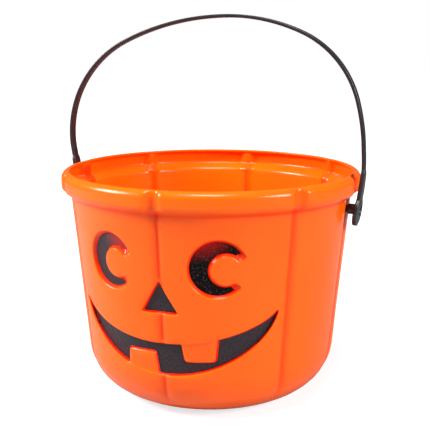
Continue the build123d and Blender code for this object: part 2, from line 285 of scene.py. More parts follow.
def grid_normals(points, flip=False):
    """Normals of a grid whose second direction closes on itself."""
    around = np.roll(points, -1, axis=1) - np.roll(points, 1, axis=1)
    normals = unit(np.cross(around, np.gradient(points, axis=0)))
    return -normals if flip else normals


normals = grid_normals(grid)
normals[0] = (0, 0, -1)
normals[-1] = (0, 0, 1)
half_way = int(np.argmin(abs(section.imag[:turn_back] - rim_height / 2)))
print("normal on the front, half way up:", normals[half_way, len(columns) // 2].round(2))

# %% [markdown]
# ## The face
# The eyes are crescents, the nose a triangle and the mouth a grin with one tooth from below
# and one from above. Each outline is a chain of arcs and lines with the recess on its left.
# A corner is cut back on both sides and joined by a curve, so that each corner can be as
# soft as the moulding shows.

# %% Outline helpers
fine_step, corner_points = 0.12, 14


def arc(centre, radius, start, end):
    """Points along an arc, angles in degrees."""
    count = max(2, ceil(abs(radians(end - start)) * radius / fine_step))
    return centre + radius * np.exp(1j * np.radians(np.linspace(start, end, count)))


def run(start, end):
    """Points along a line."""
    return start + (end - start) * np.linspace(0, 1, max(2, ceil(abs(end - start) / fine_step)))


def trim(points, front, back):
    """Takes a length off both ends of a chain of points."""
    length = np.concatenate([[0], np.cumsum(abs(np.diff(points)))])
    count = max(2, ceil((length[-1] - front - back) / fine_step))
    places = np.linspace(front, length[-1] - back, count)
    return np.interp(places, length, points.real) + 1j * np.interp(places, length, points.imag)


def soft_outline(chains, softness):
    """Joins chains into a closed outline. softness is how far each chain's far corner is cut back."""
    outline = []
    for k, chain in enumerate(chains):
        after = (k + 1) % len(chains)
        kept = trim(chain, softness[k - 1], softness[k])
        start = trim(chains[after], softness[k], softness[after])[0]
        share = np.linspace(0, 1, corner_points)[1:-1]
        curve = kept[-1] * (1 - share) ** 2 + 2 * chain[-1] * share * (1 - share) + start * share**2
        outline += [kept, curve]
    return np.concatenate(outline)


def thin_out(outline, longest=1.5, turn=8):
    """Keeps a point where the outline has turned enough or run far enough, with its outward direction."""
    ahead = np.roll(outline, -1) - np.roll(outline, 1)
    ahead = ahead / abs(ahead)
    kept, length = [0], 0.0
    for k in range(1, len(outline)):
        length += abs(outline[k] - outline[k - 1])
        turned_by = abs(degrees(phase(ahead[k] / ahead[kept[-1]])))
        if length > longest or turned_by > turn:
            kept.append(k)
            length = 0.0
    return outline[kept], -1j * ahead[kept]


print("outline helpers ready")

# %% [markdown]
# An eye is a disc in which a round island is left standing, open to the right. It could be cut
# with two cylinders, but an outline of arcs and lines can be softened corner by corner. Each
# outline is drawn twice: where the wall ends and, a little smaller, where the panel starts.

# %% Eyes and nose
eye_height, eye_radius, island_radius = 106.82, 18.6, 10.0
eye_inset, eye_tip_inset, panel_inset = 1.15, 3.91, 0.45
eye_softness, eye_foot_softness, nose_softness = [0.8, 2.6, 2.6, 0.6], [0.4, 1.0, 1.0, 0.4], 1.2
island = 5.3 - 1.0j
tip_aims = (16.0 - 14.69j, 16.0 + 6.57j)
nose_corners = [-0.89 + 97.2j, -13.09 + 76.48j, 11.31 + 76.48j]


def eye_outline(shrink, tip_shrink, softness):
    """Crescent about the eye's middle: a disc less a round island that opens to the right."""
    tips, feet = [], []
    for aim, side in zip(tip_aims, (-1j, 1j)):
        way = (aim - island) / abs(aim - island)
        start = island + side * way * tip_shrink
        ahead = (start * way.conjugate()).real
        tips.append(start + way * (sqrt(ahead**2 + (eye_radius - shrink) ** 2 - abs(start) ** 2) - ahead))
        feet.append(start + way * sqrt((island_radius + shrink) ** 2 - tip_shrink**2))
    low, high = [degrees(phase(tip)) for tip in tips]
    low_foot, high_foot = [degrees(phase(foot - island)) for foot in feet]
    chains = [
        arc(0, eye_radius - shrink, high, low + 360),
        run(tips[0], feet[0]),
        arc(island, island_radius + shrink, low_foot, high_foot - 360),
        run(feet[1], tips[1]),
    ]
    return soft_outline(chains, softness)


def nose_outline(shrink):
    """Triangle with soft corners."""
    around = nose_corners[-1:] + nose_corners + nose_corners[:1]
    corners = [inset(*around[k:k + 3], shrink) for k in range(3)]
    chains = [run(corners[k], corners[(k + 1) % 3]) for k in range(3)]
    return soft_outline(chains, [nose_softness] * 3)


eye = eye_outline(0, 0, eye_softness) + 1j * eye_height
eye_foot = eye_outline(eye_inset, eye_tip_inset, eye_foot_softness) + 1j * eye_height
nose, nose_foot = nose_outline(0), nose_outline(panel_inset)
print("eye outline", len(eye), "points, nose outline", len(nose), "points")

# %% [markdown]
# The lips are the lower parts of two ellipses about one centre. The real grin is a little
# askew, so it is drawn level and then turned by a small angle.

# %% Mouth
mouth_middle, mouth_turn = 44.53j, exp(1j * radians(1.4))
lip_centre = 2.37 + 38.83j
low_lip, high_lip = (67.2, 49.56), (69.34, 28.1)
low_tooth_corners = [-27.31 - 16.73j, -25.41 + 4.77j, -5.21 + 4.77j, -3.31 - 16.73j]
high_tooth_corners = [35.65 + 16.73j, 33.02 - 1.35j, 14.16 - 1.35j, 11.53 + 16.73j]
mouth_softness = [0.7, 2.8, 2.8, 0.7, 1.0] * 2


def on_lip(axes, start, end):
    """Points along a lip from one spot to another."""
    turns = [atan2((p - lip_centre).imag / axes[1], (p - lip_centre).real / axes[0]) for p in (start, end)]
    turns = np.linspace(turns[0], turns[1], ceil(abs(start - end) / fine_step) + 2)
    return lip_centre + axes[0] * np.cos(turns) + 1j * axes[1] * np.sin(turns)


def meet_lip(axes, start, end):
    """Where a line crosses a lip."""
    line = run(start, end)
    reach = np.hypot((line - lip_centre).real / axes[0], (line - lip_centre).imag / axes[1])
    return line[np.argmin(abs(reach - 1))]


def tooth(corners, grow, axes):
    """Corners of a tooth grown by an amount, with its roots where its sides cross the lip."""
    first = inset(*corners[:3], grow)
    second = inset(*corners[1:], grow)
    start = meet_lip(axes, first + corners[0] - corners[1], first)
    return [start, first, second, meet_lip(axes, second, second + corners[3] - corners[2])]


def mouth_outline(shrink):
    """Grin with one tooth from below and one from above."""
    low = (low_lip[0] - shrink, low_lip[1] - shrink)
    high = (high_lip[0] + shrink, high_lip[1] + shrink)
    squash = (low[0] / high[0]) ** 2
    drop = sqrt((1 - squash) / (1 / high[1] ** 2 - squash / low[1] ** 2))
    reach = low[0] * sqrt(1 - (drop / low[1]) ** 2)
    left, right = lip_centre + complex(-reach, -drop), lip_centre + complex(reach, -drop)
    low_tooth, high_tooth = tooth(low_tooth_corners, shrink, low), tooth(high_tooth_corners, shrink, high)
    chains = [on_lip(low, left, low_tooth[0])]
    chains += [run(low_tooth[k], low_tooth[k + 1]) for k in range(3)]
    chains += [on_lip(low, low_tooth[3], right), on_lip(high, right, high_tooth[0])]
    chains += [run(high_tooth[k], high_tooth[k + 1]) for k in range(3)]
    chains.append(on_lip(high, high_tooth[3], left))
    return mouth_middle + soft_outline(chains, mouth_softness) * mouth_turn


mouth, mouth_foot = mouth_outline(0), mouth_outline(panel_inset)
print("mouth outline", len(mouth), "points")

# %% [markdown]
# The faces of the teeth lie a little lower than the wall round them, with a soft line where
# the lips would run on. The drop follows the distance inside the whole grin, which for an
# ellipse is its equation divided by its slope.

# %% How deep the teeth lie
tooth_depth, tooth_blend = 0.7, 0.8


def teeth_drop(spots):
    """Extra depth of the wall at spots on the middle plane: the teeth lie lower."""
    place = (spots - mouth_middle) * mouth_turn.conjugate() - lip_centre
    inner = []
    for axes, sign in ((low_lip, 1), (high_lip, -1)):
        value = 1 - (place.real / axes[0]) ** 2 - (place.imag / axes[1]) ** 2
        slope = 2 * np.hypot(place.real / axes[0] ** 2, place.imag / axes[1] ** 2)
        inner.append(sign * value / np.maximum(slope, 1e-6))
    drop = tooth_depth * ease(-tooth_blend, tooth_blend, np.minimum(*inner))
    return np.where(place.imag < 0, drop, 0.0)


print("a tooth lies", round(float(teeth_drop(np.array([-13.0 + 42j]))[0]), 2), "mm lower")

# %% [markdown]
# ## Skin of the shell
# The shell is gathered in one list of points and faces. The grid gives most of it. Where the
# face sits, the grid is left open and filled with triangles that run up to a ring round each
# recess. From the ring a strip of quads rolls over the edge and down to the floor, so each
# edge is a true rounded edge. The inside is made in the same way, with a boss behind each
# recess.

# %% Faces between rows, and places inside loops
def ring_quads(rows, flip=False):
    """Faces between closed rows of point numbers of equal length."""
    faces = []
    for low, high in zip(rows, rows[1:]):
        for k in range(len(low)):
            after = (k + 1) % len(low)
            face = (low[k], low[after], high[after], high[k])
            faces.append(face[::-1] if flip else face)
    return faces


def odd_inside(places, loops):
    """True where a place lies inside an odd number of loops."""
    odd = np.zeros(len(places), bool)
    for loop in loops:
        start, end = loop, np.roll(loop, -1, axis=0)
        for (x0, y0), (x1, y1) in zip(start, end):
            if y0 != y1:
                between = (places[:, 1] < y0) != (places[:, 1] < y1)
                odd ^= between & (places[:, 0] < x0 + (places[:, 1] - y0) * (x1 - x0) / (y1 - y0))
    return odd


print("faces between two rows of four points:", len(ring_quads([range(4), range(4, 8)])))

# %% [markdown]
# To fill a patch with triangles, the wall is unrolled flat, and Blender's own Delaunay routine
# joins the points there. It keeps the borders as they are and gives evenly shaped triangles.

# %% A skin to gather points and faces
unroll_radius, least_gap = 93.0, 0.5
weld_gap, least_area = 1e-7, 1e-9


class Skin:
    """Points, normals, how much painted shade each point gets, and faces."""

    def __init__(self):
        self.points, self.normals, self.crease, self.faces = [], [], [], []
        self.count = 0

    def add(self, points, normals, crease):
        points = np.asarray(points, float).reshape(-1, 3)
        self.points.append(points)
        self.normals.append(np.asarray(normals, float).reshape(-1, 3))
        self.crease.append(np.zeros(len(points)) + np.asarray(crease, float).ravel())
        self.count += len(points)
        return np.arange(self.count - len(points), self.count)

    def flat(self, ids):
        """Places of points on the unrolled wall."""
        points = np.concatenate(self.points)[ids]
        return np.stack([np.arctan2(points[:, 0], -points[:, 1]) * unroll_radius, points[:, 2]], axis=1)

    def fill(self, loops, spare, flip=False):
        """Triangles inside the first loop and outside the others, using the spare points that lie there."""
        flat_loops = [self.flat(loop) for loop in loops]
        if len(spare):
            places = self.flat(spare)
            clear = odd_inside(places, flat_loops)
            for loop in flat_loops:
                gaps = np.linalg.norm(places[:, None] - loop[None], axis=2).min(axis=1)
                clear &= gaps > least_gap
            spare = spare[clear]
        ids = np.concatenate(list(loops) + [np.asarray(spare, int)])
        places = self.flat(ids)
        edges, first = [], 0
        for loop in loops:
            edges += [(first + k, first + (k + 1) % len(loop)) for k in range(len(loop))]
            first += len(loop)
        made = delaunay_2d_cdt([tuple(p) for p in places], edges, [], 0, weld_gap)
        found = np.array(made[2])
        source = np.array([origin[0] if origin else -1 for origin in made[3]])
        spots = np.array([tuple(p) for p in made[0]])
        middles = spots[found].mean(axis=1)
        found = found[odd_inside(middles, flat_loops)]
        first_side = spots[found[:, 1]] - spots[found[:, 0]]
        second_side = spots[found[:, 2]] - spots[found[:, 0]]
        area = first_side[:, 0] * second_side[:, 1] - first_side[:, 1] * second_side[:, 0]
        corners = source[found]
        for face, size in zip(corners, area):
            if min(face) >= 0 and abs(size) > least_area:
                face = tuple(ids[face])
                self.faces.append(face if (size > 0) != flip else face[::-1])
        return len(corners)


skin = Skin()
print("skin ready with", skin.count, "points")

# %% [markdown]
# The grid goes in first. Its painted shade value is higher in the grooves, in the notches and just under
# the collar. There the colour is turned red as painted shade and painted glow, for the shade and the light
# thrown back in the folds of the plastic.

# %% Start the skin with the grid
# painted shade: how much red is painted into the grooves, the notches and a band under the collar
groove_tint, notch_tint, pivot_tint, collar_tint = 0.225, 0.055, 0.5, 0.5
shade_height, shade_reach = 140.6, 1.7
under_collar = collar_tint * np.exp(-(((section.imag - shade_height) / shade_reach) ** 2))
under_collar = under_collar * (np.arange(len(section)) < turn_back)
crease_grid = groove_tint * groove_grid + notch_tint * notch_grid + under_collar[:, None]
crease_grid = np.clip(crease_grid + pivot_tint * pivot_grid / pivot_notch[0], 0, 1)
grid_ids = skin.add(grid, normals, crease_grid).reshape(grid.shape[:2])
grid_ids[0] = grid_ids[0, 0]
grid_ids[-1] = grid_ids[-1, 0]
print("skin starts with", skin.count, "points")

# %% [markdown]
# A recess is pressed straight in, so a point of it is a spot on its drawing plane and a depth.
# The profile of the strip is a list of steps: how far outside the outline, how deep, and how
# much of the groove still shows there.

# %% Points of a recess
tint_start, tint_depth = 0.4, 0.7


def press(plane_angle, spots, depth):
    """Points at a depth behind the plain wall, over spots on the plane that faces an angle."""
    radius = wall_radius(spots.imag) - depth
    ahead = np.sqrt(radius**2 - spots.real**2)
    turn = radians(plane_angle)
    x = spots.real * cos(turn) + ahead * sin(turn)
    y = spots.real * sin(turn) - ahead * cos(turn)
    return np.stack([x, y, spots.imag], axis=-1)


def pressed_strip(plane_angle, outline, profile, flip=False, toothed=False):
    """Adds the strip of one recess to the skin and returns its rows of points."""
    spots, away = thin_out(outline)
    angle = plane_angle + np.degrees(np.arcsin(spots.real / wall_radius(spots.imag)))
    groove = groove_depth(angle, wall_radius(spots.imag))
    rows = []
    for out, deep, share in profile:
        places = spots + out * away
        drop = teeth_drop(places) if toothed else 0
        rows.append(press(plane_angle, places, deep + share * groove + drop))
    rows = np.array(rows)
    # painted shade: the side of a recess is painted redder as it goes deeper
    tint = np.array([[0.0 if flip else (deep - tint_start) / tint_depth] for out, deep, share in profile])
    tint = np.clip(tint, 0, 1) + 0 * groove[None, :]
    ids = skin.add(rows, grid_normals(rows, flip), tint).reshape(rows.shape[:2])
    skin.faces += ring_quads(ids, flip)
    return ids


print("tint starts at a depth of", tint_start, "mm")

# %% [markdown]
# Outside, the wall rolls over the edge of each recess. Inside, a boss stands behind it, as the
# wall goes round the recess with its own thickness. A bevel could round these edges, but the
# sides of the eyes are less steep than the others, and a profile gives each recess its own.

# %% Edges of the recesses and bosses behind them
recess_depth, panel_face = 3.22, 2.62
boss_depth, boss_round = recess_depth + wall_thickness, 1.4
edge_round, edge_steps = 1.7, 5
eye_angle, eye_slope, plain_slope = 22.6, 56, 74


def edge_profile(slope):
    """Rolls from the wall over the edge until the slope of the recess's side is reached."""
    turns = [radians(slope * k / edge_steps) for k in range(edge_steps + 1)]
    return [(edge_round * (1 - sin(a)), edge_round * (1 - cos(a)), 1 - a / pi) for a in turns]


boss_foot = [(0.12, 0.01, 1.0), (0.03, 0.12, 1.0), (0.0, 0.5, 0.8)]
boss_profile = [(wall_thickness + out, wall_thickness + deep, share) for out, deep, share in boss_foot]
boss_profile += [
    (wall_thickness - boss_round * (1 - cos(a)), boss_depth - boss_round * (1 - sin(a)), 0.0)
    for a in np.radians(range(0, 91, 18))
]
features = [(side * eye_angle, eye, eye_foot, eye_slope) for side in (-1, 1)]
features += [(0.0, nose, nose_foot, plain_slope), (0.0, mouth, mouth_foot, plain_slope)]
recess_rows = [
    pressed_strip(angle, edge, edge_profile(slope), toothed=edge is mouth)
    for angle, edge, foot, slope in features
]
boss_rows = [pressed_strip(angle, edge, boss_profile, flip=True) for angle, edge, foot, slope in features]
print("points round each outline:", [rows.shape[1] for rows in recess_rows])

# %% [markdown]
# The side of a recess slopes from the rolled edge to the outline of its panel. Those two
# outlines have different numbers of points, so the slope is filled with triangles too. Below
# it a shallow pocket takes the panel.

# %% Sides and pockets
def slope_side(plane_angle, ring, foot):
    """Fills from a ring to the panel's outline, drops into the pocket and returns the pocket's ring."""
    spots = thin_out(foot)[0]
    lines = np.array([press(plane_angle, spots, depth) for depth in (panel_face, recess_depth)])
    # painted shade: the panel's outline and the pocket get the full red
    ids = skin.add(lines, 0 * lines, 1.0).reshape(2, -1)
    first = len(skin.faces)
    skin.fill([ring, ids[0]], [])
    points = np.concatenate(skin.points)
    facing = np.zeros_like(points)
    for face in skin.faces[first:]:
        a, b, c = points[list(face)]
        facing[list(face)] += np.cross(b - a, c - a)
    skin.normals[-1][: len(spots)] = unit(facing[ids[0]])
    skin.normals[-1][len(spots):] = unit(facing[ids[0]])
    skin.faces += ring_quads(ids)
    return ids[1]


pocket_rings = [
    slope_side(angle, rows[-1], foot) for rows, (angle, edge, foot, slope) in zip(recess_rows, features)
]
print("points round each panel:", [len(ring) for ring in pocket_rings])

# %% [markdown]
# The studs pass through a round hole on each side, with its edges broken outside and inside.

# %% Pivot holes
hole_radius, hole_depth, hole_points = 2.58, wall_thickness + 0.01, 160
hole_break = [(0.35, 0.0), (0.1, 0.1), (0.0, 0.35)]
hole = 1j * pivot_height + hole_radius * np.exp(1j * np.linspace(0, 2 * pi, hole_points + 1)[:-1])
hole_profile = [(out, deep, 1) for out, deep in hole_break]
hole_profile += [(out, hole_depth - deep, 1) for out, deep in hole_break[::-1]]
hole_rows = {side: pressed_strip(side * 90.0, hole, hole_profile) for side in (-1, 1)}
print("pivot holes at", sorted(hole_rows))

# %% [markdown]
# Between the recesses the wall needs points of its own: those of the grid, and closer rows
# along the soft lines at the foot of each tooth.

# %% Points of the wall with its teeth
# painted shade in the grooves and along the soft lines at the foot of the teeth
face_groove_tint, tooth_tint = 0.22, 0.1
turn_step, height_step = 0.0005, 0.05


def wall_spots(angles, heights):
    """Adds points of the outer wall with its groove and the lower teeth."""
    def place(turn, height):
        radius = wall_radius(height)
        drop = teeth_drop(radius * np.sin(turn) + 1j * height)
        radius = radius - groove_depth(np.degrees(turn), radius) - drop
        return on_round(radius, turn, height), drop

    turns = np.radians(angles)
    level = place(turns + turn_step, heights)[0] - place(turns - turn_step, heights)[0]
    upright = place(turns, heights + height_step)[0] - place(turns, heights - height_step)[0]
    points, drop = place(turns, heights)
    # painted shade: redder in the grooves and where the teeth lie lower
    tint = face_groove_tint * groove_depth(angles, unroll_radius) + tooth_tint * drop
    return skin.add(points, unit(np.cross(level, upright)), tint)


print("normals are measured over", 2 * height_step, "mm")

# %% [markdown]
# The soft lines are only a millimetre or two wide, so rows of points follow them closely.
# Points of the grid that come too near to such a row are left out.

# %% Points between the recesses
root_reach, line_clear, line_stride = 2.6, 0.8, 8
line_sides = (-0.9, -0.5, -0.15, 0.2, 0.55, 0.95)
in_face = abs(columns) < face_edge
inner_rows = [row for row in wall_rows if face_low < row < face_high]
angles, heights = [grid_part.ravel() for grid_part in np.meshgrid(columns[in_face], inner_rows)]
lines = []
for axes, corners in ((low_lip, low_tooth_corners), (high_lip, high_tooth_corners)):
    roots = tooth(corners, -root_reach, axes)
    line = trim(on_lip(axes, roots[0], roots[3]), 0, 0)[::line_stride]
    for aside in line_sides:
        lines.append(lip_centre + (line - lip_centre) * (1 + aside / abs(line - lip_centre)))
lines = mouth_middle + np.concatenate(lines) * mouth_turn
line_angles = np.degrees(np.arcsin(lines.real / wall_radius(lines.imag)))
near_line = np.zeros(len(angles), bool)
for angle, height in zip(line_angles, lines.imag):
    near_line |= np.hypot(np.radians(angles - angle) * unroll_radius, heights - height) < line_clear
spare = wall_spots(
    np.concatenate([angles[~near_line], line_angles]), np.concatenate([heights[~near_line], lines.imag])
)
print("points between the recesses:", len(spare))

# %% [markdown]
# A patch of the grid is left open round the face, outside and inside, and round each hole. The
# border of the patch and the rings of the recesses bound the triangles that fill it.

# %% Fill the wall round the recesses and holes
hole_clear = 5.5


def row_of(height, inner):
    """Number of the section point at a height of the straight wall."""
    on_side = (np.arange(len(section)) > turn_back) == inner
    return int(np.argmin(np.where(on_side, abs(section.imag - height), np.inf)))


def column_of(angle):
    return int(np.argmin(abs(columns - angle)))


open_cells = np.zeros(grid.shape[:2], bool)


def open_patch(low, high, left, right, inner, rings, spare=None):
    """Leaves the grid open between two heights and two angles, and fills it round the rings."""
    bottom, top = row_of(low, inner), row_of(high, inner)
    first, last = column_of(left), column_of(right)
    rows = np.arange(bottom, top + 1) if top > bottom else np.arange(bottom, top - 1, -1)
    block = grid_ids[rows][:, first:last + 1]
    open_cells[min(bottom, top):max(bottom, top), first:last] = True
    border = np.concatenate([block[0, :-1], block[:-1, -1], block[-1, :0:-1], block[:0:-1, 0]])
    return skin.fill([border] + rings, block[1:-1, 1:-1].ravel() if spare is None else spare, flip=inner)


hole_reach = degrees(hole_clear / column_radius)
face_patch = (face_low, face_high, -face_edge, face_edge)
made = open_patch(*face_patch, False, [rows[0] for rows in recess_rows], spare)
made += open_patch(*face_patch, True, [rows[0] for rows in boss_rows])
for side in (-1, 1):
    left, right = side * 90 - hole_reach, side * 90 + hole_reach
    made += open_patch(hole_low, hole_high, left, right, False, [hole_rows[side][0]])
    made += open_patch(hole_low, hole_high, left, right, True, [hole_rows[side][-1]])
print("triangles round the face and the pivots:", made)

# %% [markdown]
# The strips still end in open rings. A floor in each pocket and a top on each boss close them.
# A flat cap would cut through the curved panels, so these bend with the wall.

# %% Floors of the recesses and tops of the bosses
def close_recess(ring, depth, flip):
    """Fills the last row of a strip with a curved floor."""
    low, high = skin.flat(ring).min(axis=0), skin.flat(ring).max(axis=0)
    angles = np.arange(low[0], high[0], row_step) / unroll_radius
    heights = np.arange(low[1], high[1], row_step)
    angles, heights = [a.ravel() for a in np.meshgrid(angles, heights)]
    radius = wall_radius(heights) - depth
    facing = unit(on_round(1, angles, 0 * angles - wall_slope))
    # painted shade: the floors of the recesses get the full red, the tops of the bosses none
    floor_ids = skin.add(
        on_round(radius, angles, heights), -facing if flip else facing, 0.0 if flip else 1.0
    )
    skin.fill([ring], floor_ids, flip)


for ring in pocket_rings:
    close_recess(ring, recess_depth, False)
for rows in boss_rows:
    close_recess(rows[-1], boss_depth, True)
for k in range(len(section) - 1):
    for j in range(len(columns)):
        if not open_cells[k, j]:
            after = (j + 1) % len(columns)
            face = (grid_ids[k, j], grid_ids[k, after], grid_ids[k + 1, after], grid_ids[k + 1, j])
            skin.faces.append(tuple(dict.fromkeys(face)))
print("faces:", len(skin.faces))

# %% [markdown]
# Points that no face uses are dropped, lengths become metres, and the normals are handed to the mesh. A
# painted shade value goes with each point, so that the material can paint red shade and glow into the
# grooves, the notches, the recesses and under the collar.

# %% Make the shell
def make_piece(name, points, faces, node, body):
    """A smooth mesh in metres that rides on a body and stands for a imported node."""
    mesh = bpy.data.meshes.new(name)
    mesh.from_pydata([tuple(p) for p in np.asarray(points) * 0.001], [], faces)
    mesh.polygons.foreach_set("use_smooth", [True] * len(mesh.polygons))
    piece = bpy.data.objects.new(name, mesh)
    bpy.context.scene.collection.objects.link(piece)
    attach(piece, body)
    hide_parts(node)
    return piece


def give_values(piece, name, values):
    """Stores a number with each point of a piece, for its material to read."""
    attribute = piece.data.attributes.new(name, "FLOAT", "POINT")
    attribute.data.foreach_set("value", np.asarray(values, np.float32))


used = np.unique(np.concatenate([np.array(face) for face in skin.faces]))
renumber = np.zeros(skin.count, int)
renumber[used] = np.arange(len(used))
shell_faces = [tuple(int(renumber[k]) for k in face) for face in skin.faces]
shell = make_piece(
    "pail_moulding", np.concatenate(skin.points)[used], shell_faces, "pail_shell", "pail"
)
shell.data.normals_split_custom_set_from_vertices([tuple(n) for n in np.concatenate(skin.normals)[used]])
# the painted shade value goes with each point for the material to read
give_values(shell, "crease", np.concatenate(skin.crease)[used])
print("pail_moulding:", len(shell.data.vertices), "points,", len(shell.data.polygons), "faces")

# %% [markdown]
# ## The bail
# The strap is one bent length of black plastic with fine lines along it. It widens into a
# neck with a small shoulder, and ends in a spoon-shaped paddle. A curve with a bevel would
# keep one section from end to end, so the strap is lofted: a rounded section is set along
# the arcs, and its width, thickness and lines change on the way.

# %% Middle line of the strap
paddle_middle, paddle_drop, paddle_half_height = 104.81, 1.7, 9.5
paddle_shift = -0.01 - 0.2j
strap_end, neck_join, neck_foot, spoon_top = 172.0, 22.0, 8.0, 7.6
crown_aside, crown_rise, strap_turn = 0.1153, 1.2194, 1.2
crown = complex(crown_aside * paddle_middle, pivot_height + crown_rise * paddle_middle)
right_arcs = ((1.238, 23.7), (0.657, 50.6), (1.316, 22.8))
left_arcs = ((1.762, 25.0), (0.7524, 33.2), (0.6894, 51.5))
paddle_lean = radians(8)
bend_stations, neck_stations, spoon_stations, spoon_start = 40, 22, 40, 0.25


def strap_line(arcs, side):
    """Points from the crown out to one paddle, through tangent arcs."""
    point, heading, line = crown, complex(side, 0), [crown]
    for share, sweep in arcs:
        centre = point - 1j * side * heading * share * paddle_middle
        steps = ceil(sweep / strap_turn)
        turns = [radians(sweep * k / steps) for k in range(1, steps + 1)]
        turned_points = [centre + (point - centre) * exp(-1j * side * turn) for turn in turns]
        line += turned_points
        point, heading = turned_points[-1], heading * exp(-1j * side * radians(sweep))
    return np.array(line)


def whole_side(arcs, side):
    """Middle line of one side from the crown to the paddle's foot, and its distance from the pivot."""
    strap = strap_line(arcs, side)
    strap = strap[strap.imag > strap_end]
    up = complex(side * sin(paddle_lean), cos(paddle_lean))
    middle = complex(side * (paddle_middle + paddle_shift.real), pivot_height + paddle_shift.imag)
    joint = middle + neck_join * up
    share = np.linspace(0, 1, bend_stations)[1:-1]
    start_way = (strap[-1] - strap[-2]) / abs(strap[-1] - strap[-2])
    reach = abs(joint - strap[-1]) / 3
    first, second = strap[-1] + start_way * reach, joint + up * reach
    curve = strap[-1] * (1 - share) ** 3 + 3 * first * share * (1 - share) ** 2
    curve = curve + 3 * second * share**2 * (1 - share) + joint * share**3
    spoon = paddle_half_height * np.cos(np.linspace(spoon_start, pi, spoon_stations)) - paddle_drop
    rise = np.concatenate([np.linspace(neck_join, neck_foot, neck_stations), spoon[spoon < spoon_top]])
    line = np.concatenate([strap, curve, middle + rise * up])
    above = (np.concatenate([strap, curve]) - middle) / up
    return line, np.concatenate([above.real, rise])


right_line, right_rise = whole_side(right_arcs, 1)
left_line, left_rise = whole_side(left_arcs, -1)
bail_line = np.concatenate([left_line[::-1], right_line[1:]])
rise = np.concatenate([left_rise[::-1], right_rise[1:]])
print("strap stations:", len(bail_line), "top at", round(bail_line.imag.max(), 1), "mm")

# %% [markdown]
# Sizes along the bail follow the distance above the pivot. The paddle is half an ellipse that
# melts into the neck, and the neck ends in a rounded shoulder on the strap.

# %% Width and thickness along the bail
strap_half_width, strap_half_thick, neck_swell = 3.1, 1.15, 0.25
paddle_half, neck_half, neck_blend, melt = 8.0, 4.1, 4.0, 5
shoulder_low, shoulder_high, lines_low, lines_high = 22.5, 27.6, 28.0, 34.0
dome_height, dome_low, dome_high = 0.8, (-11.2, -7.0), (9.0, 3.0)


def paddle_half_width(rise):
    """Half-width of the paddle and neck at a distance above the pivot."""
    share = np.clip((rise + paddle_drop) / paddle_half_height, -1, 1)
    spoon = paddle_half * np.sqrt(1 - share**2)
    neck = neck_half * ease(-neck_blend, neck_blend, rise)
    return (spoon**melt + neck**melt) ** (1 / melt)


shoulder = np.sqrt(1 - ease(shoulder_low, shoulder_high, rise) ** 2)
above_neck = strap_half_width + (neck_half - strap_half_width) * shoulder
half_width = np.where(rise > neck_join - 2, above_neck, paddle_half_width(rise))
half_thick = strap_half_thick + neck_swell * shoulder
line_share = 1 - ease(lines_high, lines_low, rise)
dome = dome_height * ease(*dome_high, rise) * ease(*dome_low, rise)
print("paddle is", round(2 * half_width.max(), 1), "mm wide")

# %% [markdown]
# The section is a rounded bar. Each side has a row of points across, dipping a little at the
# two moulded lines, and the corners are quarter circles. The last sections at the paddle's
# foot shrink to nothing, which closes the spoon's tip.

# %% Loft the bail
across_shares = np.array([0.88, 0.66, 0.58, 0.51, 0.442, 0.37, 0.3, 0.22, 0.0])
across_shares = np.concatenate([across_shares, -across_shares[-2::-1]])
edge_break, line_depth, line_place, line_width = 0.75, 0.26, 1.15, 0.3
well_edge, well_floor, well_depth = 3.5, 2.9, 0.95
right_turn, turn_high, turn_low, least_half_width = 0.06, 30, 12, 0.05


def bar_section(half_w, half_t, lines, dome, rise):
    """Points round one section: across the strap, and through its thickness."""
    corner = min(edge_break, 0.7 * half_w, 0.6 * half_t)
    turn = np.radians([0, 22.5, 45, 67.5, 90])
    edge = [(half_w - corner + corner * cos(a), half_t - corner + corner * sin(a)) for a in turn]
    reach = across_shares * (half_w - corner)
    dip = line_depth * lines * np.exp(-(((abs(reach) - line_place) / line_width) ** 2))
    well = ease(well_edge, well_floor, np.hypot(reach, rise))
    swell = dome * (1 - across_shares**2) - (dome + well_depth) * well
    top = edge + list(zip(reach, half_t - dip + swell)) + [(-a, b) for a, b in edge[::-1]]
    back = edge + list(zip(reach, half_t - dip)) + [(-a, b) for a, b in edge[::-1]]
    return np.array(top + [(-a, -b) for a, b in back])


way = np.gradient(bail_line)
way = way / abs(way)
bail_rows = []
for k, (point, ahead) in enumerate(zip(bail_line, way)):
    out = 1j * ahead
    width = max(half_width[k], least_half_width)
    sides = bar_section(width, half_thick[k], line_share[k], dome[k], rise[k])
    skew = right_turn * ease(turn_high, turn_low, rise[k]) * (point.real > 0)
    flat_points = point + out * (sides[:, 1] + skew * (sides[:, 0] + paddle_half))
    bail_rows.append(np.stack([flat_points.real, sides[:, 0], flat_points.imag], axis=-1))
bail_rows = np.array(bail_rows)
stations, around = bail_rows.shape[:2]
inner_side = np.tile(np.arange(around) >= around // 2, stations)
rings = np.arange(stations * around).reshape(stations, around).tolist()
bail_faces = ring_quads(rings) + [rings[0][::-1], rings[-1]]
bail = make_piece("strap_bail", bail_rows.reshape(-1, 3), bail_faces, "bail_strap", "bail")
give_values(bail, "inner_side", inner_side)
print("strap_bail:", len(bail.data.vertices), "points")

# %% [markdown]
# ## The pivot studs
# A stud has a head inside the wall, a thin shank through it, a shoulder between wall and
# paddle, and a dimpled end in the paddle. Stacked cylinders would leave hidden faces between
# them, so one outline is turned about the axis. Every corner is broken a little, as on a
# moulded pin.

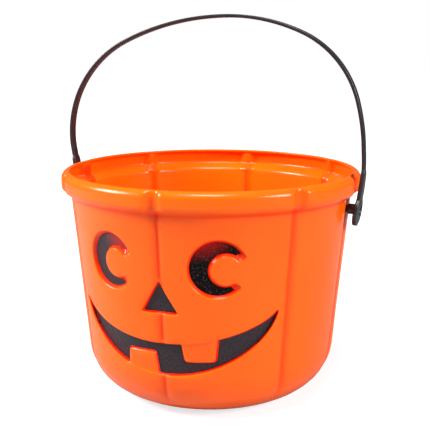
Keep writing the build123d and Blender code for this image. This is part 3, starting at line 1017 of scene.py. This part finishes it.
# %% Turn the studs
head_start, head_wide, head_end = 90.52, 92.12, 93.12
shoulder_start, shoulder_end, stud_end = 98.68, 102.84, 105.8
tip_radius, head_radius, shank_radius = 3.2, 4.2, 2.5
shoulder_radius, spigot_radius, dimple_radius = 3.6, 2.9, 1.3
dimple_floor = stud_end - 1.0
stud_steps = [
    (head_start, 0), (head_start, tip_radius), (head_wide, head_radius), (head_end, head_radius),
    (head_end, shank_radius), (shoulder_start, shank_radius), (shoulder_start, shoulder_radius),
    (shoulder_end, shoulder_radius), (shoulder_end, spigot_radius), (stud_end, spigot_radius),
    (stud_end, dimple_radius), (dimple_floor, dimple_radius), (dimple_floor, 0),
]
stud_outline = [complex(*step) for step in stud_steps]
stud_rounds = [0.4, 0.5, 0.25, 0.2, 0.2, 0.35, 0.2, 0.2, 0.3, 0.3, 0.3]
stud_line = np.array(rounded_line(stud_outline, stud_rounds, turn=30))


def turn_stud(name, side, node):
    """Turns the outline about the pivot axis."""
    turns = np.linspace(0, 2 * pi, 49)[:-1]
    points = [
        (side * p.real, p.imag * cos(a), pivot_height + p.imag * sin(a)) for p in stud_line for a in turns
    ]
    rings = np.arange(len(points)).reshape(len(stud_line), len(turns)).tolist()
    return make_piece(name, points, ring_quads(rings, side > 0), node, "bail")


studs = [turn_stud("right_stud", 1, "right_pivot_stud"), turn_stud("left_stud", -1, "left_pivot_stud")]
print([stud.name for stud in studs])

# %% [markdown]
# ## Finishes
# All of the pail is moulded plastic, so the finishes share one effect: a fine grain from the
# mould, a slow unevenness of the surface, and small changes of tone. It is a node group with
# its own inputs, and each plastic sets them to its own scale.

# %% Moulded grain group
def moulded_grain():
    """Node group: grain and waviness of a moulded surface."""
    group = bpy.data.node_groups.new("moulded_grain", "ShaderNodeTree")
    for name in ("Grain Scale", "Wave Scale", "Wave Share"):
        group.interface.new_socket(name, in_out="INPUT", socket_type="NodeSocketFloat")
    for name in ("Height", "Tone", "Grain"):
        group.interface.new_socket(name, in_out="OUTPUT", socket_type="NodeSocketFloat")
    nodes, links = group.nodes, group.links
    start, end = nodes.new("NodeGroupInput"), nodes.new("NodeGroupOutput")
    place = nodes.new("ShaderNodeTexCoord")
    grain, wave = nodes.new("ShaderNodeTexNoise"), nodes.new("ShaderNodeTexNoise")
    grain.inputs["Detail"].default_value = 2.0
    wave.inputs["Detail"].default_value = 3.0
    for noise, socket in ((grain, "Grain Scale"), (wave, "Wave Scale")):
        links.new(place.outputs["Object"], noise.inputs["Vector"])
        links.new(start.outputs[socket], noise.inputs["Scale"])
    height = nodes.new("ShaderNodeMix")
    links.new(start.outputs["Wave Share"], height.inputs[0])
    links.new(grain.outputs["Fac"], height.inputs[2])
    links.new(wave.outputs["Fac"], height.inputs[3])
    links.new(height.outputs[0], end.inputs["Height"])
    links.new(wave.outputs["Fac"], end.inputs["Tone"])
    links.new(grain.outputs["Fac"], end.inputs["Grain"])
    return group


grain_group = moulded_grain()
print("group", grain_group.name)

# %% [markdown]
# Each plastic is a Principled shader with that group on its bump and roughness. Small helpers
# stretch a value from one span to another, read a value that goes with the points, and mix
# two colours by a mask. The first colour of a mix may itself be a mix.

# %% Plastic helpers
relief_depth = 0.0006


def stretch(tree, value, start, end):
    """A value moved from one span to another."""
    node = tree.nodes.new("ShaderNodeMapRange")
    node.inputs["From Min"].default_value, node.inputs["From Max"].default_value = start
    node.inputs["To Min"].default_value, node.inputs["To Max"].default_value = end
    tree.links.new(value, node.inputs["Value"])
    return node.outputs["Result"]


def point_value(material, name):
    """A value that was stored with the points."""
    node = material.node_tree.nodes.new("ShaderNodeAttribute")
    node.attribute_name = name
    return node.outputs["Fac"]


def plastic(name, grain_scale, wave_scale, wave_share, bump, rough):
    """A Principled material with the grain group on its bump and roughness."""
    material = bpy.data.materials.new(name)
    material.use_nodes = True
    nodes, links = material.node_tree.nodes, material.node_tree.links
    shader = nodes["Principled BSDF"]
    grain = nodes.new("ShaderNodeGroup")
    grain.node_tree = grain_group
    grain.inputs["Grain Scale"].default_value = grain_scale
    grain.inputs["Wave Scale"].default_value = wave_scale
    grain.inputs["Wave Share"].default_value = wave_share
    relief = nodes.new("ShaderNodeBump")
    relief.inputs["Strength"].default_value = bump
    relief.inputs["Distance"].default_value = relief_depth
    links.new(grain.outputs["Height"], relief.inputs["Height"])
    links.new(relief.outputs["Normal"], shader.inputs["Normal"])
    spread = stretch(material.node_tree, grain.outputs["Tone"], (0, 1), rough)
    links.new(spread, shader.inputs["Roughness"])
    return material, shader, grain


def blend_colours(material, factor, low, high):
    """A mix of two colours by a factor socket. low is a colour or the socket of another mix."""
    mix = material.node_tree.nodes.new("ShaderNodeMix")
    mix.data_type = "RGBA"
    material.node_tree.links.new(factor, mix.inputs[0])
    if isinstance(low, bpy.types.NodeSocket):
        material.node_tree.links.new(low, mix.inputs[6])
    else:
        mix.inputs[6].default_value = low
    mix.inputs[7].default_value = high
    return mix.outputs[2]


print("plastic helpers ready")

# %% [markdown]
# The orange plastic is bright, half glossy and a little see-through: light sinks in, comes back redder, and
# glows in the grooves. Subsurface scattering gives part of that glow. The rest is painted: the painted
# shade value of each point turns the colour towards red where the plastic folds, as painted shade and glow.

# %% Orange shell
orange, shader, grain = plastic("orange_moulding", 2600.0, 26.0, 0.6, 0.08, (0.19, 0.26))
tone = blend_colours(orange, grain.outputs["Tone"], (1.0, 0.106, 0.001, 1), (1.0, 0.122, 0.002, 1))
# painted shade and glow: the colour turns red where the painted shade value is high
tone = blend_colours(orange, point_value(orange, "crease"), tone, (1.0, 0.008, 0.001, 1))
orange.node_tree.links.new(tone, shader.inputs["Base Color"])
shader.inputs["Subsurface Weight"].default_value = 0.12
shader.inputs["Subsurface Radius"].default_value = (1.0, 0.22, 0.05)
shader.inputs["Subsurface Scale"].default_value = 0.003
shader.inputs["IOR"].default_value = 1.49
shader.inputs["Specular IOR Level"].default_value = 0.26
shell.data.materials.append(orange)
print(orange.name)

# %% [markdown]
# The floors of the face are black with a fine grain. High up beside the eyes the black turns dark red, by a
# mask that rises towards a place above. Two blacks use it, so it is a node group with the place and its
# reach as inputs.

# %% Dark red towards a place
def red_towards_place():
    """Node group: a mask that rises smoothly towards a place."""
    group = bpy.data.node_groups.new("red_towards_place", "ShaderNodeTree")
    for name, kind in (("Place", "Vector"), ("Start", "Float"), ("Full", "Float")):
        group.interface.new_socket(name, in_out="INPUT", socket_type="NodeSocket" + kind)
    group.interface.new_socket("Mask", in_out="OUTPUT", socket_type="NodeSocketFloat")
    nodes, links = group.nodes, group.links
    start, end = nodes.new("NodeGroupInput"), nodes.new("NodeGroupOutput")
    place, reach = nodes.new("ShaderNodeTexCoord"), nodes.new("ShaderNodeVectorMath")
    reach.operation = "DISTANCE"
    mask = nodes.new("ShaderNodeMapRange")
    mask.interpolation_type = "SMOOTHSTEP"
    links.new(place.outputs["Object"], reach.inputs[0])
    links.new(start.outputs["Place"], reach.inputs[1])
    links.new(reach.outputs["Value"], mask.inputs["Value"])
    links.new(start.outputs["Start"], mask.inputs["From Min"])
    links.new(start.outputs["Full"], mask.inputs["From Max"])
    links.new(mask.outputs["Result"], end.inputs["Mask"])
    return group


red_place_group = red_towards_place()
print("group", red_place_group.name)

# %% [markdown]
# A panel mixes a dark and a paler black by its grain, and a dark red towards a place over both. The nose,
# the mouth and the left eye get a paler, purplish black: a painted sheen of the bright surroundings that
# they reflect. The right eye has the deepest black, with no painted sheen and with pale specks in its
# grain.

# %% Panels
def panel_finish(name, low, high, specular, specks, red_place, red_reach):
    """Grained black that turns red towards a place. specks is the span of the grain from low to high."""
    material, shader, grain = plastic(name, 900.0, 60.0, 0.15, 0.9, (0.36, 0.48))
    tree = material.node_tree
    red_near = tree.nodes.new("ShaderNodeGroup")
    red_near.node_tree = red_place_group
    red_near.inputs["Place"].default_value = red_place
    red_near.inputs["Start"].default_value, red_near.inputs["Full"].default_value = red_reach
    contrast = stretch(tree, grain.outputs["Grain"], specks, (0, 1))
    tone = blend_colours(material, contrast, low, high)
    # the black turns dark red towards the place, by the mask
    tone = blend_colours(material, red_near.outputs["Mask"], tone, (0.42, 0.006, 0.004, 1))
    tree.links.new(tone, shader.inputs["Base Color"])
    shader.inputs["Specular IOR Level"].default_value = specular
    return material


# painted sheen: the paler purplish black of the nose, the mouth and the left eye
sheen_painted_black = panel_finish(
    "black_with_painted_sheen", low=(0.006, 0.003, 0.006, 1), high=(0.028, 0.019, 0.026, 1), specular=0.34,
    specks=(0.3, 0.7), red_place=(0.0, -0.092, 0.137), red_reach=(0.048, 0.026)
)
deep_black = panel_finish(
    "deep_black", low=(0, 0, 0, 1), high=(0.090, 0.060, 0.060, 1), specular=0.10,
    specks=(0.56, 0.78), red_place=(0.025, -0.092, 0.140), red_reach=(0.031, 0.012)
)
# the right eye keeps the deep black; the other panels get the painted sheen
for name, node in frame["nodes"].items():
    if name.endswith("_panel"):
        for socket in node.material_slots:
            socket.material = deep_black if name == "right_eye_panel" else sheen_painted_black
print(sheen_painted_black.name, deep_black.name)

# %% [markdown]
# The strap and studs are a smoother satin black. The inner side of the strap has a red-brown
# tinge from the light that the pail throws back.

# %% Strap and studs
strap_black, shader, grain = plastic("satin_black", 1400.0, 90.0, 0.3, 0.07, (0.30, 0.42))
tone = blend_colours(strap_black, grain.outputs["Tone"], (0.008, 0.007, 0.008, 1), (0.018, 0.016, 0.018, 1))
tone = blend_colours(strap_black, point_value(strap_black, "inner_side"), tone, (0.020, 0.006, 0.006, 1))
strap_black.node_tree.links.new(tone, shader.inputs["Base Color"])
shader.inputs["Specular IOR Level"].default_value = 0.44
for piece in [bail] + studs:
    piece.data.materials.append(strap_black)
print(strap_black.name)

# %% [markdown]
# ## Floor and light
# The pail stands on a plain pale table, which takes its soft shadow. A backdrop could hide the
# far edge of the table. Here the floor glows for the camera only, and more so further out, so
# that it fades into a white background without a horizon.

# %% Floor
floor_mesh = bpy.data.meshes.new("floor")
floor_mesh.from_pydata([(-6, -6, 0), (6, -6, 0), (6, 6, 0), (-6, 6, 0)], [], [(0, 1, 2, 3)])
floor = bpy.data.objects.new("floor", floor_mesh)
floor.location.z = -0.0002
bpy.context.scene.collection.objects.link(floor)
white = bpy.data.materials.new("white_table")
white.use_nodes = True
nodes, links = white.node_tree.nodes, white.node_tree.links
shader = nodes["Principled BSDF"]
shader.inputs["Base Color"].default_value = (0.42, 0.42, 0.42, 1)
shader.inputs["Roughness"].default_value = 0.9
shader.inputs["Specular IOR Level"].default_value = 0.1
shader.inputs["Emission Strength"].default_value = 1.0
place, reach = nodes.new("ShaderNodeTexCoord"), nodes.new("ShaderNodeVectorMath")
reach.operation = "LENGTH"
links.new(place.outputs["Object"], reach.inputs[0])
lift = stretch(white.node_tree, reach.outputs["Value"], (0.14, 0.5), (0.72, 1.0))
seen = nodes.new("ShaderNodeLightPath")
camera_only = nodes.new("ShaderNodeMath")
camera_only.operation = "MULTIPLY"
links.new(lift, camera_only.inputs[0])
links.new(seen.outputs["Is Camera Ray"], camera_only.inputs[1])
links.new(camera_only.outputs[0], shader.inputs["Emission Color"])
floor_mesh.materials.append(white)
print("floor ready")

# %% [markdown]
# A soft lamp stands on the left, a weaker one on the right and one above. Wide lamps give soft
# shadows and broad highlights. The sky is white for the camera and dim for all else, so that
# the background doesn't light the pail.

# %% Lamps and sky
def soft_lamp(name, place, aim, size, power):
    """A square area lamp that looks at a point."""
    lamp = bpy.data.objects.new(name, bpy.data.lights.new(name, "AREA"))
    lamp.data.size = size
    lamp.data.energy = power
    lamp.location = place
    away = np.array(place) - np.array(aim)
    lamp.rotation_euler = (atan2(np.hypot(away[0], away[1]), away[2]), 0, atan2(away[0], -away[1]))
    bpy.context.scene.collection.objects.link(lamp)


soft_lamp("left_softbox", (-1.05, -0.5, 0.8), (0, 0, 0.1), 0.45, 30.0)
soft_lamp("right_softbox", (1.2, -0.35, 0.7), (0, 0, 0.1), 0.4, 18.0)
soft_lamp("top_softbox", (0.1, -0.45, 1.3), (0, 0, 0.1), 0.4, 14.5)

world = bpy.data.worlds.new("studio")
bpy.context.scene.world = world
world.use_nodes = True
nodes, links = world.node_tree.nodes, world.node_tree.links
sky = nodes["Background"]
sky.inputs["Color"].default_value = (1, 1, 1, 1)
seen = nodes.new("ShaderNodeLightPath")
level = stretch(world.node_tree, seen.outputs["Is Camera Ray"], (0, 1), (0.13, 1.0))
links.new(level, sky.inputs["Strength"])
bpy.context.scene.view_settings.view_transform = "Standard"
print("lamps and sky ready")
